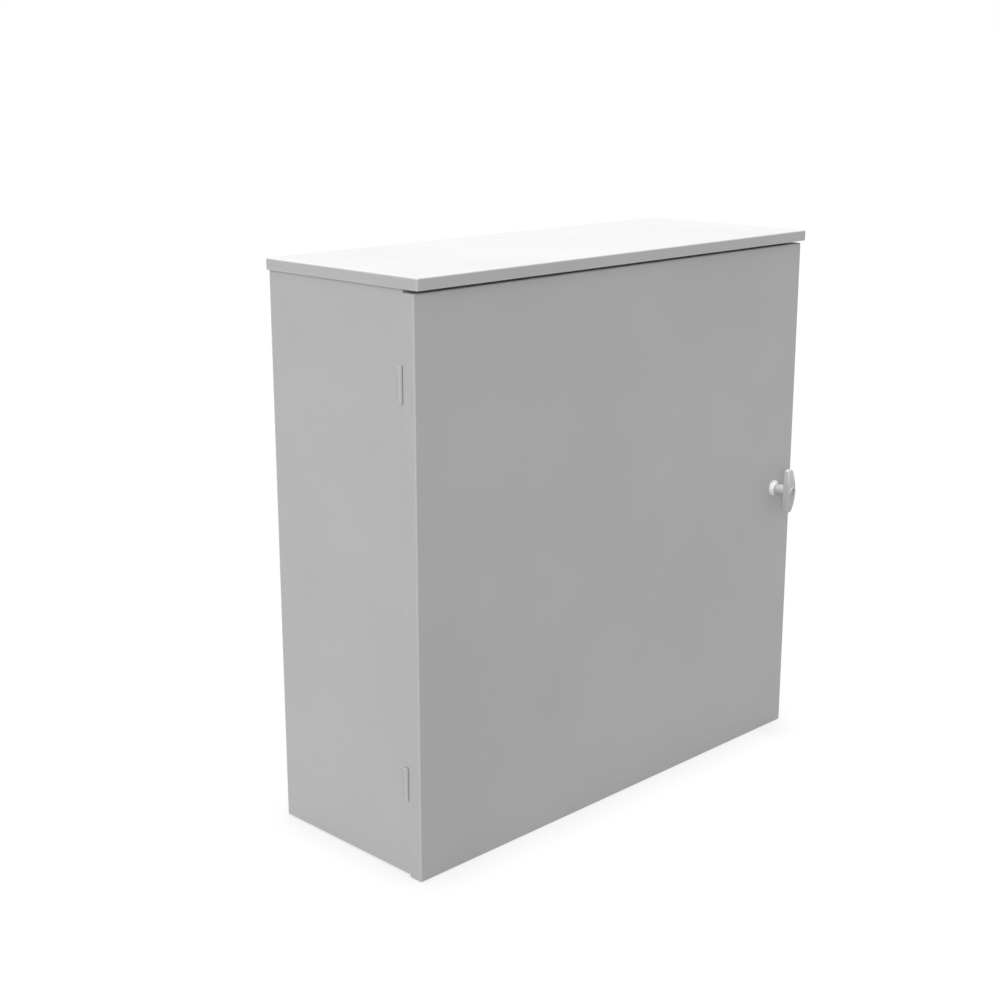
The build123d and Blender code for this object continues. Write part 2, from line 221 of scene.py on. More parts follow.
def rounded(centre: tuple[float, float], radius: float, start: float, end: float) -> list:
    """Profile points on a round about a centre, from one angle in degrees to another."""
    angles = arc(start, end, 5)
    return [(centre[0] + radius * math.cos(a), centre[1] + radius * math.sin(a)) for a in angles]


def washer(place: Place, outer: float, bore: float, height: float) -> Patch:
    """A punched ring whose edges are rounded over by a fifth of its height.

    Args:
        place: Frame whose zero is the seat.
        outer: Outside radius.
        bore: Radius of its hole.
        height: Thickness.

    Returns:
        Closed surface.
    """
    edge = height / 5
    profile = rounded((outer - edge, edge), edge, -90, 0)
    profile += rounded((outer - edge, height - edge), edge, 0, 90)
    profile += rounded((bore + edge, height - edge), edge, 90, 180)
    profile += rounded((bore + edge, edge), edge, 180, 270)
    return turned(place, profile, closed=True)


def hexagon(angle: np.ndarray, flats: float) -> np.ndarray:
    """Radius of a hexagon with a corner at zero: half the flats over the cosine from the nearest flat."""
    sixth = TURN / 6
    return flats / 2 / np.cos(np.mod(angle, sixth) - sixth / 2)


@dataclass(frozen=True)
class Hex:
    """A hexagonal nut or bolt head.

    Attributes:
        flats: Width across flats.
        height: Height of the hexagon.
        bore: Radius of the hole, zero for a bolt head.
        columns: Points round it, a multiple of six.
        face_share: Width of its turned face as a share of the flats.
    """

    flats: float
    height: float
    bore: float = 0.0
    columns: int = 96
    face_share: float = 0.985

    def patch(self, place: Place) -> Patch:
        """The smaller of the hexagon's radius and a turned limit, which falls by 30 degrees at both ends.

        Args:
            place: Frame whose zero is the seat.

        Returns:
            Closed surface.
        """
        corner = self.flats / math.sqrt(3)
        rise = (corner - self.flats / 2) * math.tan(math.radians(30))
        share = np.linspace(0, 1, 6)
        falling = corner + (self.flats / 2 * self.face_share - corner) * share
        upper = self.height - rise + rise * share
        limits = np.concatenate([falling[::-1], falling])
        heights = np.concatenate([self.height - upper[::-1], upper])
        if self.bore:
            sink = min(self.height / 8, self.flats / 20)
            limits = np.concatenate([limits, [self.bore + sink, self.bore, self.bore]])
            heights = np.concatenate([heights, [self.height, self.height - sink, 0]])
        else:
            limits = np.concatenate([[0], limits, [0]])
            heights = np.concatenate([[0], heights, [self.height]])
        angle = around(self.columns)
        radius = np.minimum(hexagon(angle, self.flats), limits[:, None])
        return Patch(place.put(polar(radius, angle, heights[:, None])), closed_rows=bool(self.bore))


@dataclass(frozen=True)
class Thread:
    """A screw thread on a rod.

    Attributes:
        crest: Outside radius.
        pitch: Rise in one turn.
        low: Height where it starts.
        high: Height of the rod's tip.
        flats: Distance between two flats along local X, zero for a round rod.
        columns: Points round the rod.
        depth_share: Depth of the thread as a share of its pitch.
        pitch_rows: Rows of points to one pitch.
        crest_cut: Share of the V that is cut off at its points.
    """

    crest: float
    pitch: float
    low: float
    high: float
    flats: float = 0.0
    columns: int = 48
    depth_share: float = 0.54
    pitch_rows: int = 8
    crest_cut: float = 0.2

    def rows(self) -> tuple[np.ndarray, np.ndarray]:
        """Radius and height of the threaded stretch, row by row.

        The radius goes from root to crest and back once per pitch along the rod, as a V with its points
        cut off, and the V climbs one pitch per turn. It is held below a cone at each end, and below the
        flats.

        Returns:
            Radii as rows by columns, and heights as one column.
        """
        depth = self.pitch * self.depth_share
        count = int((self.high - self.low) / self.pitch * self.pitch_rows) + 2
        height = np.linspace(self.low, self.high, count)[:, None]
        angle = around(self.columns)
        wave = np.abs(2 * np.mod(height / self.pitch - angle / TURN, 1) - 1)
        cut = self.crest_cut
        radius = self.crest - depth + depth * np.clip(wave * (1 + 2 * cut) - cut, 0, 1)
        ends = np.minimum(height - self.low, self.high - height)
        radius = np.minimum(radius, self.crest - depth + ends)
        if self.flats:
            radius = np.minimum(radius, self.flats / 2 / np.maximum(np.abs(np.cos(angle)), 1e-6))
        return radius, height


Stretch = tuple[np.ndarray, np.ndarray]


def stacked(place: Place, parts: Iterable[Stretch], columns: int, closed: bool = False) -> Patch:
    """One surface from stretches of radius and height that follow each other along local Z.

    Args:
        place: Where the axis is.
        parts: Pairs of radii and heights, each as rows by columns or as one column.
        columns: Points round the axis.
        closed: Whether the last row joins the first.

    Returns:
        The surface.
    """
    angle = around(columns)
    grids = [polar(np.asarray(r, float), angle, np.asarray(h, float)) for r, h in parts]
    return Patch(place.put(np.concatenate(grids)), closed_rows=closed)


Socket = bpy.types.NodeSocket
Material = bpy.types.Material


class Tree:
    """A shader node tree, with short calls that place and link nodes."""

    def __init__(self, tree: bpy.types.NodeTree) -> None:
        """Keeps the tree that the calls work on."""
        self.tree = tree

    def feed(self, socket: Socket, value: object) -> None:
        """Links a socket to another, or sets its plain value.

        Args:
            socket: Input to feed.
            value: Another node's output, or a value.
        """
        if isinstance(value, Socket):
            self.tree.links.new(value, socket)
        else:
            socket.default_value = value

    def add(
        self, kind: str, inputs: dict[str, object] | None = None, **settings: object
    ) -> bpy.types.Node:
        """Places a node.

        Args:
            kind: Blender's name for the node type.
            inputs: Values or outputs for its inputs, by name.
            settings: Properties of the node.

        Returns:
            The node.
        """
        node = self.tree.nodes.new(kind)
        for key, value in settings.items():
            setattr(node, key, value)
        for key, value in (inputs or {}).items():
            self.feed(node.inputs[key], value)
        return node

    def filled(self, node: bpy.types.Node, values: Sequence[object]) -> bpy.types.Node:
        """Feeds a node's inputs in order.

        Args:
            node: The node.
            values: Values or outputs for its first inputs.

        Returns:
            The node.
        """
        for socket, value in zip(node.inputs, values):
            self.feed(socket, value)
        return node

    def math(self, operation: str, *values: object) -> Socket:
        """Places a Math node and returns its output."""
        return self.filled(self.add("ShaderNodeMath", operation=operation), values).outputs[0]

    def vector(self, operation: str, *values: object) -> Socket:
        """Places a Vector Math node and returns its first output."""
        node = self.filled(self.add("ShaderNodeVectorMath", operation=operation), values)
        return node.outputs["Value" if operation in ("LENGTH", "DOT_PRODUCT") else "Vector"]

    def spot(self) -> Socket:
        """Places a Texture Coordinate node and returns the place on the object."""
        return self.add("ShaderNodeTexCoord").outputs["Object"]

    def noise(self, place: object, scale: object, detail: float, rough: float = 0.5) -> Socket:
        """Places a Noise Texture with a scale per metre and returns its value, from about zero to one."""
        inputs = {"Vector": place, "Scale": scale, "Detail": detail, "Roughness": rough}
        return self.add("ShaderNodeTexNoise", inputs).outputs["Fac"]

    def remap(self, value: object, old: tuple[float, float], new: tuple[float, float]) -> Socket:
        """Maps a range of values onto another with smooth ends.

        Args:
            value: What to map.
            old: Range that it has.
            new: Range that it gets.

        Returns:
            The mapped value.
        """
        node = self.add("ShaderNodeMapRange", interpolation_type="SMOOTHSTEP")
        return self.filled(node, (value, *old, *new)).outputs["Result"]

    def mix(self, share: object, first: object, second: object) -> Socket:
        """Mixes two colours.

        Args:
            share: Weight of the second.
            first: Colour where the share is zero.
            second: Colour where it is one.

        Returns:
            The mixed colour.
        """
        node = self.add("ShaderNodeMix", data_type="RGBA")
        for number, value in ((0, share), (6, first), (7, second)):
            self.feed(node.inputs[number], value)
        return node.outputs[2]


class Effect(Enum):
    """Surface effects that several finishes share, each by the name of the call that makes it."""

    COAT = "coat_grain"
    EDGES = "box_edges"
    PLATING = "plating_spangle"
    RINGS = "turned_rings"
    HANDLING = "handling_marks"


@dataclass(frozen=True)
class EffectLibrary:
    """Builds each shared effect once, as a shader node group."""

    built: dict[Effect, bpy.types.NodeTree] = field(default_factory=dict)

    def group(self, effect: Effect) -> bpy.types.NodeTree:
        """The node group of an effect, made when first asked for.

        Args:
            effect: Which one.

        Returns:
            Its node tree.
        """
        if effect not in self.built:
            self.built[effect] = getattr(self, effect.value)()
        return self.built[effect]

    def start(
        self, effect: Effect, inputs: dict[str, str], outputs: Sequence[str]
    ) -> tuple[Tree, dict[str, Socket], bpy.types.Node]:
        """Opens a new group with named sockets.

        Args:
            effect: Which effect it is for.
            inputs: Socket type of each input.
            outputs: Names of its value outputs.

        Returns:
            The tree, its inputs by name, and the node that takes its outputs.
        """
        group = bpy.data.node_groups.new(effect.value, "ShaderNodeTree")
        for name, kind in inputs.items():
            group.interface.new_socket(name, in_out="INPUT", socket_type=kind)
        for name in outputs:
            group.interface.new_socket(name, in_out="OUTPUT", socket_type="NodeSocketFloat")
        tree = Tree(group)
        source = tree.add("NodeGroupInput")
        return tree, {name: source.outputs[name] for name in inputs}, tree.add("NodeGroupOutput")

    def coat_grain(self) -> bpy.types.NodeTree:
        """Powder coat: pebbled height, a slow drift of tone over the sheet and fine specks.

        Returns:
            Group with the outputs Height, Tone and Gloss.
        """
        inputs = {"Scale": "NodeSocketFloat"}
        tree, given, out = self.start(Effect.COAT, inputs, ("Height", "Tone", "Gloss"))
        spot = tree.spot()
        pebble = tree.noise(spot, given["Scale"], 2.0, 0.4)
        fine = tree.noise(spot, tree.math("MULTIPLY", given["Scale"], 2.7), 1.0)
        tree.feed(out.inputs["Height"], tree.math("MULTIPLY_ADD", fine, 0.35, pebble))
        tree.feed(out.inputs["Tone"], tree.remap(tree.noise(spot, 5.0, 3.0), (0.3, 0.7), (0.0, 1.0)))
        cloud = tree.noise(spot, 17.0, 4.0, 0.6)
        tree.feed(out.inputs["Gloss"], tree.math("MULTIPLY_ADD", fine, 0.3, cloud))
        return tree.tree

    def box_edges(self) -> bpy.types.NodeTree:
        """Folded edges of a pan: where a point lies near two faces of its box at once.

        Each axis gives a mask that rises to one at the nearer face. Edge is the largest product of two
        masks, broken up by noise.

        Returns:
            Group with the output Edge.
        """
        inputs = {"Middle": "NodeSocketVector", "Half": "NodeSocketVector", "Width": "NodeSocketFloat"}
        tree, given, out = self.start(Effect.EDGES, inputs, ("Edge",))
        spot = tree.spot()
        away = tree.vector("ABSOLUTE", tree.vector("SUBTRACT", spot, given["Middle"]))
        short = tree.vector("SUBTRACT", given["Half"], away)
        split = tree.add("ShaderNodeSeparateXYZ", {"Vector": short})
        near = []
        for axis in split.outputs:
            share = tree.math("DIVIDE", axis, given["Width"])
            far = tree.math("MINIMUM", tree.math("ABSOLUTE", share), 1.0)
            near.append(tree.math("SUBTRACT", 1.0, far))
        pairs = [tree.math("MULTIPLY", near[a], near[b]) for a, b in ((0, 1), (1, 2), (0, 2))]
        edge = tree.math("MAXIMUM", tree.math("MAXIMUM", pairs[0], pairs[1]), pairs[2])
        broken = tree.remap(tree.noise(spot, 60.0, 4.0, 0.65), (0.35, 0.65), (0.25, 1.0))
        tree.feed(out.inputs["Edge"], tree.math("MULTIPLY", edge, broken))
        return tree.tree

    def plating_spangle(self) -> bpy.types.NodeTree:
        """Zinc plating: small crystal patches that differ in tone and gloss, under a slow stain.

        Returns:
            Group with the outputs Patch, Stain and Height.
        """
        inputs = {"Scale": "NodeSocketFloat"}
        tree, given, out = self.start(Effect.PLATING, inputs, ("Patch", "Stain", "Height"))
        spot = tree.spot()
        crystal = tree.add("ShaderNodeTexVoronoi", {"Vector": spot, "Scale": given["Scale"]})
        tone = tree.add("ShaderNodeSeparateColor", {"Color": crystal.outputs["Color"]}).outputs["Red"]
        tree.feed(out.inputs["Patch"], tone)
        stain = tree.noise(spot, tree.math("MULTIPLY", given["Scale"], 0.15), 4.0, 0.6)
        tree.feed(out.inputs["Stain"], tree.remap(stain, (0.35, 0.7), (0.0, 1.0)))
        scratch = tree.noise(spot, tree.math("MULTIPLY", given["Scale"], 4.0), 2.0)
        tree.feed(out.inputs["Height"], tree.math("MULTIPLY_ADD", tone, 0.2, scratch))
        return tree.tree

    def turned_rings(self) -> bpy.types.NodeTree:
        """Lathe marks: a wave along the radius from an axis that runs along Y, uneven from ring to ring.

        Returns:
            Group with the outputs Height and Gloss.
        """
        inputs = {"Centre": "NodeSocketVector", "Pitch": "NodeSocketFloat"}
        tree, given, out = self.start(Effect.RINGS, inputs, ("Height", "Gloss"))
        spot = tree.spot()
        arm = tree.vector("MULTIPLY", tree.vector("SUBTRACT", spot, given["Centre"]), (1.0, 0.0, 1.0))
        radius = tree.vector("LENGTH", arm)
        turns = tree.math("DIVIDE", radius, given["Pitch"])
        line = tree.add("ShaderNodeCombineXYZ", {"X": turns}).outputs["Vector"]
        uneven = tree.noise(line, 0.9, 3.0, 0.7)
        wave = tree.math("SINE", tree.math("MULTIPLY", turns, TURN))
        tree.feed(out.inputs["Height"], tree.math("MULTIPLY_ADD", wave, 0.25, uneven))
        tree.feed(out.inputs["Gloss"], uneven)
        return tree.tree

    def handling_marks(self) -> bpy.types.NodeTree:
        """Use: soft smudges where hands touch, and short hairlines along the grip.

        Returns:
            Group with the outputs Smudge and Hairline.
        """
        inputs = {"Scale": "NodeSocketFloat"}
        tree, given, out = self.start(Effect.HANDLING, inputs, ("Smudge", "Hairline"))
        spot = tree.spot()
        smudge = tree.noise(spot, given["Scale"], 3.0, 0.6)
        tree.feed(out.inputs["Smudge"], tree.remap(smudge, (0.45, 0.75), (0.0, 1.0)))
        drawn = tree.vector("MULTIPLY", spot, (1.0, 1.0, 0.05))
        fine = tree.math("MULTIPLY", given["Scale"], 40.0)
        tree.feed(out.inputs["Hairline"], tree.noise(drawn, fine, 2.0))
        return tree.tree


EFFECTS = EffectLibrary()
Colour = tuple[float, float, float, float]


def grey(value: float) -> Colour:
    """A neutral colour from a linear value."""
    return (value, value, value, 1.0)


@dataclass(frozen=True)
class Surface:
    """A material being made: its tree, its shader and calls that use the shared effects."""

    material: Material
    tree: Tree
    shader: bpy.types.Node

    @classmethod
    def new(cls, name: str, **values: object) -> "Surface":
        """Starts a material with one Principled shader.

        Args:
            name: Name of the material.
            values: Plain values for the shader, by input name with underscores for spaces.

        Returns:
            The surface.
        """
        material = bpy.data.materials.new(name)
        material.use_nodes = True
        shader = material.node_tree.nodes["Principled BSDF"]
        for key, value in values.items():
            shader.inputs[key.replace("_", " ")].default_value = value
        return cls(material, Tree(material.node_tree), shader)

    def effect(self, effect: Effect, **inputs: object) -> dict[str, Socket]:
        """Places a shared effect with its own values.

        Args:
            effect: Which one.
            inputs: Values of its inputs, by name.

        Returns:
            Its outputs by name.
        """
        node = self.tree.add("ShaderNodeGroup", node_tree=EFFECTS.group(effect))
        for key, value in inputs.items():
            self.tree.feed(node.inputs[key], value)
        return {socket.name: socket for socket in node.outputs}

    def bump(self, height: object, distance: float, strength: float) -> Socket:
        """Places a Bump node and returns the normal, bent by a height and the share of it that shows."""
        inputs = {"Height": height, "Distance": distance, "Strength": strength}
        return self.tree.add("ShaderNodeBump", inputs).outputs["Normal"]

    def finish(self, colour: object, roughness: object, normal: object) -> Material:
        """Links colour, roughness and normal to the shader.

        Args:
            colour: Base colour.
            roughness: Roughness.
            normal: Bent normal.

        Returns:
            The material.
        """
        for name, value in (("Base Color", colour), ("Roughness", roughness), ("Normal", normal)):
            self.tree.feed(self.shader.inputs[name], value)
        return self.material


@dataclass(frozen=True)
class PowderCoat:
    """Baked paint on folded sheet.

    Attributes:
        name: Start of the material's name.
        tone: Linear colour of the coat.
        thin_coat_and_highlight_tone: Linear colour where it is thin, along folded edges.
        drift: Share by which the tone wanders over a sheet.
        grain: Pebbles per metre.
        depth: Depth of the pebbles in metres.
        relief: Share of that depth that shows.
        roughness: Middle roughness.
        gloss_drift: How far the roughness wanders from it.
        edge_width: Width of the thin coat.
        edge_share: How much of the edge's tone shows.
    """

    name: str
    tone: Colour
    thin_coat_and_highlight_tone: Colour
    drift: float = 0.02
    grain: float = 420.0
    depth: float = 4e-5
    relief: float = 0.35
    roughness: float = 0.52
    gloss_drift: float = 0.05
    # edge_width: Width of the lighter band along the edges.
    edge_width: float = 0.0035
    edge_share: float = 0.6

    def on(self, node: str) -> Material:
        """The coat for one sheet, lighter along the edges of its own box: thin coat, and a painted
        highlight along the bends.

        Args:
            node: Name of the sheet's node.

        Returns:
            The material.
        """
        low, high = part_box(node)
        surface = Surface.new(f"{self.name}_{node}", Specular_IOR_Level=0.42)
        coat = surface.effect(Effect.COAT, Scale=self.grain)
        middle = (low + high) / 2
        edges = surface.effect(Effect.EDGES, Middle=middle, Half=high - middle, Width=self.edge_width)
        ends = (1 - self.drift, 1 + self.drift)
        dark, light = [tuple(value * share for value in self.tone[:3]) + (1.0,) for share in ends]
        body = surface.tree.mix(coat["Tone"], dark, light)
        # Lighter along folded edges: thin coat, and a painted highlight along the bends.
        worn = surface.tree.math("MULTIPLY", edges["Edge"], self.edge_share)
        colour = surface.tree.mix(worn, body, self.thin_coat_and_highlight_tone)
        gloss = (self.roughness - self.gloss_drift, self.roughness + self.gloss_drift)
        roughness = surface.tree.remap(coat["Gloss"], (0.4, 0.9), gloss)
        normal = surface.bump(coat["Height"], self.depth, self.relief)
        return surface.finish(colour, roughness, normal)


@dataclass(frozen=True)
class Plating:
    """Plated steel of fasteners and brackets.

    Attributes:
        name: Name of the material.
        light: Colour of the bright crystal patches.
        dark: Colour of the dull ones.
        stain: Colour of the slow stain.
        grain: Crystal patches per metre.
        roughness: Middle roughness.
        gloss_steps: How much rougher dull patches are, and how much smoother bright ones.
        stain_share: How much of the stain shows.
        depth: Depth of the crystals in metres.
        relief: Share of that depth that shows.
    """

    name: str
    light: Colour
    dark: Colour
    stain: Colour
    grain: float = 1100.0
    roughness: float = 0.34
    gloss_steps: tuple[float, float] = (0.06, 0.05)
    stain_share: float = 0.35
    depth: float = 1e-5
    relief: float = 0.25

    def build(self) -> Material:
        """Mixes bright and dull patches, with a faint stain over them.

        Returns:
            The material.
        """
        surface = Surface.new(self.name, Metallic=1.0)
        plate = surface.effect(Effect.PLATING, Scale=self.grain)
        body = surface.tree.mix(plate["Patch"], self.dark, self.light)
        faint = surface.tree.math("MULTIPLY", plate["Stain"], self.stain_share)
        colour = surface.tree.mix(faint, body, self.stain)
        rougher, smoother = self.gloss_steps
        gloss = (self.roughness + rougher, self.roughness - smoother)
        roughness = surface.tree.remap(plate["Patch"], (0.0, 1.0), gloss)
        normal = surface.bump(plate["Height"], self.depth, self.relief)
        return surface.finish(colour, roughness, normal)


@dataclass(frozen=True)
class Casting:
    """Silver-grey lacquered casting, darker on the handle; the rosette's copy is lighter, a painted
    highlight on its bell.

    Attributes:
        name: Name of the material.
        colour: Colour of clean metal.
        worn: Colour where hands have dulled it.
        roughness: Roughness of clean metal.
        smudges: Smudges per metre.
        dulling: How much of the worn colour shows in a smudge.
        smudge_roughness: How much rougher a smudge is.
        lacquer: Weight of the clear coat.
        lacquer_roughness: Roughness of the clear coat.
        depth: Depth of the hairlines in metres.
        relief: Share of that depth that shows.
    """

    name: str
    colour: Colour
    worn: Colour
    roughness: float = 0.42
    smudges: float = 90.0
    dulling: float = 0.5
    smudge_roughness: float = 0.08
    lacquer: float = 0.7
    lacquer_roughness: float = 0.36
    depth: float = 6e-6
    relief: float = 0.2

    def build(self) -> Material:
        """Mixes clean and worn colour by the smudges, under a clear coat.

        Returns:
            The material.
        """
        surface = Surface.new(
            self.name, Coat_Weight=self.lacquer, Coat_Roughness=self.lacquer_roughness
        )
        marks = surface.effect(Effect.HANDLING, Scale=self.smudges)
        smudge = marks["Smudge"]
        dulled = surface.tree.math("MULTIPLY", smudge, self.dulling)
        colour = surface.tree.mix(dulled, self.colour, self.worn)
        roughness = surface.tree.math("MULTIPLY_ADD", smudge, self.smudge_roughness, self.roughness)
        normal = surface.bump(marks["Hairline"], self.depth, self.relief)
        return surface.finish(colour, roughness, normal)


@dataclass(frozen=True)
class TurnedFace:
    """Lathe-turned face of the lock cylinder.

    Attributes:
        name: Name of the material.
        colour: Colour of the metal.
        groove: Colour in the grooves.
        pitch: Distance between grooves.
        brightness: How much of the metal's colour shows between grooves.
        gloss: Roughness in the dullest rings and in the brightest.
        depth: Depth of the grooves in metres.
        relief: Share of that depth that shows.
    """

    name: str
    colour: Colour
    groove: Colour
    pitch: float
    brightness: float = 0.6
    gloss: tuple[float, float] = (0.38, 0.24)
    depth: float = 1.5e-5
    relief: float = 0.4

    def build(self, centre: Vector) -> Material:
        """Makes the material with its rings about an axis.

        Args:
            centre: A point on the axis.

        Returns:
            The material.
        """
        surface = Surface.new(self.name, Metallic=1.0)
        rings = surface.effect(Effect.RINGS, Centre=centre, Pitch=self.pitch)
        bright = surface.tree.math("MULTIPLY", rings["Gloss"], self.brightness)
        colour = surface.tree.mix(bright, self.groove, self.colour)
        roughness = surface.tree.remap(rings["Gloss"], (0.3, 0.7), self.gloss)
        normal = surface.bump(rings["Height"], self.depth, self.relief)
        return surface.finish(colour, roughness, normal)


@dataclass(frozen=True)
class Dressing:
    """Finishes of the whole enclosure, and the calls that put a piece in its place.

    Attributes:
        paint: Coat of the box and the cover.
        enamel: Coat of the mounting panel.
        painted_highlight_casting: Finish of the rosette, the casting in a lighter colour that is a
            painted highlight on its bell.
        lock: Finish of the lock cylinder.
        plain: Finish of each slot whose pieces are all alike.
    """

    paint: PowderCoat
    enamel: PowderCoat
    painted_highlight_casting: Material
    lock: TurnedFace
    plain: dict[Slot, Material]

    def paint_node(self, node: str, coat: PowderCoat) -> None:
        """Gives a sheet's node its coat."""
        self.cover_node(node, coat.on(node))

    def cover_node(self, node: str, material: Material) -> None:
        """Puts a material on every slot of a node.

        Args:
            node: Name of the node.
            material: What it is finished with.
        """
        slots = frame["nodes"][node].material_slots
        for slot in slots:
            slot.link = "OBJECT"
            slot.material = material
        if not slots:
            frame["nodes"][node].data.materials.append(material)
        log.info("%s finished as %s", node, material.name)

    def fit(
        self,
        name: str,
        patches: Sequence[Patch],
        body: Body,
        slot: Slot,
        *nodes: str,
        material: Material | None = None,
    ) -> None:
        """Makes a piece, finishes it and says what it rides on and stands for.

        Args:
            name: Name of the piece.
            patches: Grids that make up its surface.
            body: Group that it moves with.
            slot: Record slot of its finish.
            nodes: Nodes that it stands for.
            material: What it is finished with, if not as the rest of its slot.
        """
        piece = make_piece(name, patches)
        piece.data.materials.append(material or self.plain[slot])
        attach(piece, body.value)
        if nodes:
            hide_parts(*nodes)
        log.info("%s made, %d faces", piece.name, len(piece.data.polygons))


def foot_of(node: str) -> Place:
    """Frame in the middle of the back of a node's box, with Z to the front.

    Args:
        node: Name of the node.

    Returns:
        The frame.
    """
    low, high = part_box(node)
    middle = (low + high) / 2
    return Place(Vector((middle.x, high.y, middle.z)))


def seat_on(axis: Place, node: str) -> Place:
    """Moves the frame of an axis along Y to where its Z enters a node's box.

    Args:
        axis: Frame on the axis.
        node: Name of the node.

    Returns:
        The frame of the node's seat.
    """
    low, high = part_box(node)
    entry = low.y if axis.z.y > 0 else high.y
    return axis.lifted((entry - axis.origin.y) * axis.z.y)


def washer_in(axis: Place, node: str, bore: float) -> Patch:
    """Washer on an axis that fills a node's box."""
    low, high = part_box(node)
    return washer(seat_on(axis, node), (high.x - low.x) / 2, bore, high.y - low.y)


def nut_in(axis: Place, node: str, bore: float) -> Patch:
    """Hexagonal nut on an axis that fills a node's box."""
    low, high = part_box(node)
    return Hex(high.z - low.z, high.y - low.y, bore).patch(seat_on(axis, node))


@dataclass
class Sheets:
    """Folded box, top, cover and hinge leaves, with the welds at the corners of the rim.

    Attributes:
        bead_radius: Half the width of a weld bead.
        bead_height: How far it stands up.
        ripple: Length of one ripple of the bead.
        ripple_rows: Rows of points to one ripple.
        swell: Share by which a bead is larger at a ripple.
        tip_power: How abruptly a bead's tips are rounded off.
        sheet: Thickness of the sheet.
        rim_width: Width of the rim round the opening.
    """

    bead_radius: float = 0.0016
    bead_height: float = 0.0009
    ripple: float = 0.0011
    ripple_rows: int = 6
    swell: float = 0.14
    tip_power: int = 16
    sheet: float = 0.00152
    rim_width: float = 0.022

    def bead(self, start: Vector, end: Vector, up: Vector) -> Patch:
        """A weld bead: half an ellipse carried along a seam, larger at each ripple and shut at its tips.

        Args:
            start: First point of the seam.
            end: Last point.
            up: Direction that the bead stands in.

        Returns:
            Closed surface.
        """
        run = end - start
        steps = int(run.length / self.ripple) * self.ripple_rows
        share = np.linspace(0, 1, steps)[:, None]
        swell = 1 + self.swell * np.abs(np.sin(share * math.pi * run.length / self.ripple))
        tips = np.sqrt(np.clip(1 - (2 * share - 1) ** self.tip_power, 0, 1))
        angle = arc(0, 180, 9)[None, :]
        side = np.array(run.normalized().cross(up))
        across = (swell * tips * np.cos(angle))[..., None] * side * self.bead_radius
        rise = (swell * tips * np.sin(angle))[..., None] * np.array(up) * self.bead_height
        along = np.array(start) + share[..., None] * np.array(run)
        return Patch(along + across + rise)

    def rim_beads(self) -> list[Patch]:
        """Beads inside the rim, where its sides meet the sill and the header.

        Returns:
            One bead for each corner.
        """
        shell_low, shell_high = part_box("body_shell")
        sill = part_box("bottom_panel")[1].z
        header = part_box("top_panel")[0].z
        inside = shell_low.y + self.sheet
        beads = []
        for side in (-1, 1):
            outer = side * (shell_high.x - self.sheet * 2)
            inner = side * (shell_high.x - self.rim_width)
            for level in (sill, header):
                ends = (Vector((inner, inside, level)), Vector((outer, inside, level)))
                beads.append(self.bead(*ends, Vector((0, 1, 0))))
        return beads

    def build(self, dressing: Dressing) -> None:
        """Paints the sheets and adds the welds."""
        pairs = [f"{piece}_{side}" for piece in ("rim", "shield_end") for side in ("left", "right")]
        for node in ["body_shell", "top_panel", "bottom_panel", "drip_shield", "cover"] + pairs:
            dressing.paint_node(node, dressing.paint)
        for height in ("upper", "lower"):
            for leaf in ("cover_leaf", "body_leaf"):
                dressing.paint_node(f"hinge_{leaf}_{height}", dressing.paint)
        coat = dressing.paint.on("body_shell")
        dressing.fit("rim_welds", self.rim_beads(), Body.BOX, Slot.PAINT, material=coat)


@dataclass
class Hinges:
    """Pins of the two lift-off hinges.

    Attributes:
        dome_share: Height of a pin's domed head as a share of its radius.
        shank_share: Radius of the shank as a share of the head's.
        tip_share: Length of the coned tip as a share of the shank's radius.
    """

    dome_share: float = 0.3
    shank_share: float = 0.717
    tip_share: float = 0.35

    def pin(self, node: str) -> Patch:
        """A pin turned about Z: a domed head below, a plain shank and a coned tip.

        Args:
            node: Node that gives its place and length.

        Returns:
            Closed surface.
        """
        low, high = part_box(node)
        middle = (low + high) / 2
        head = (high.x - low.x) / 2
        shank = head * self.shank_share
        tip = shank * self.tip_share
        dome = head * self.dome_share
        place = Place(Vector((middle.x, middle.y, low.z)), z=Vector((0, 0, 1)))
        length = high.z - low.z
        angles = arc(-90, 0, 7)
        profile = [(head * math.cos(a), dome + dome * math.sin(a)) for a in angles]
        profile += [(shank, dome), (shank, length - tip), (shank - tip, length), (0, length)]
        return turned(place, profile, columns=40)

    def build(self, dressing: Dressing) -> None:
        """Makes both pins."""
        for height in ("upper", "lower"):
            node = f"hinge_pin_{height}"
            dressing.fit(f"turned_pin_{height}", [self.pin(node)], Body.BOX, Slot.PLATED, node)


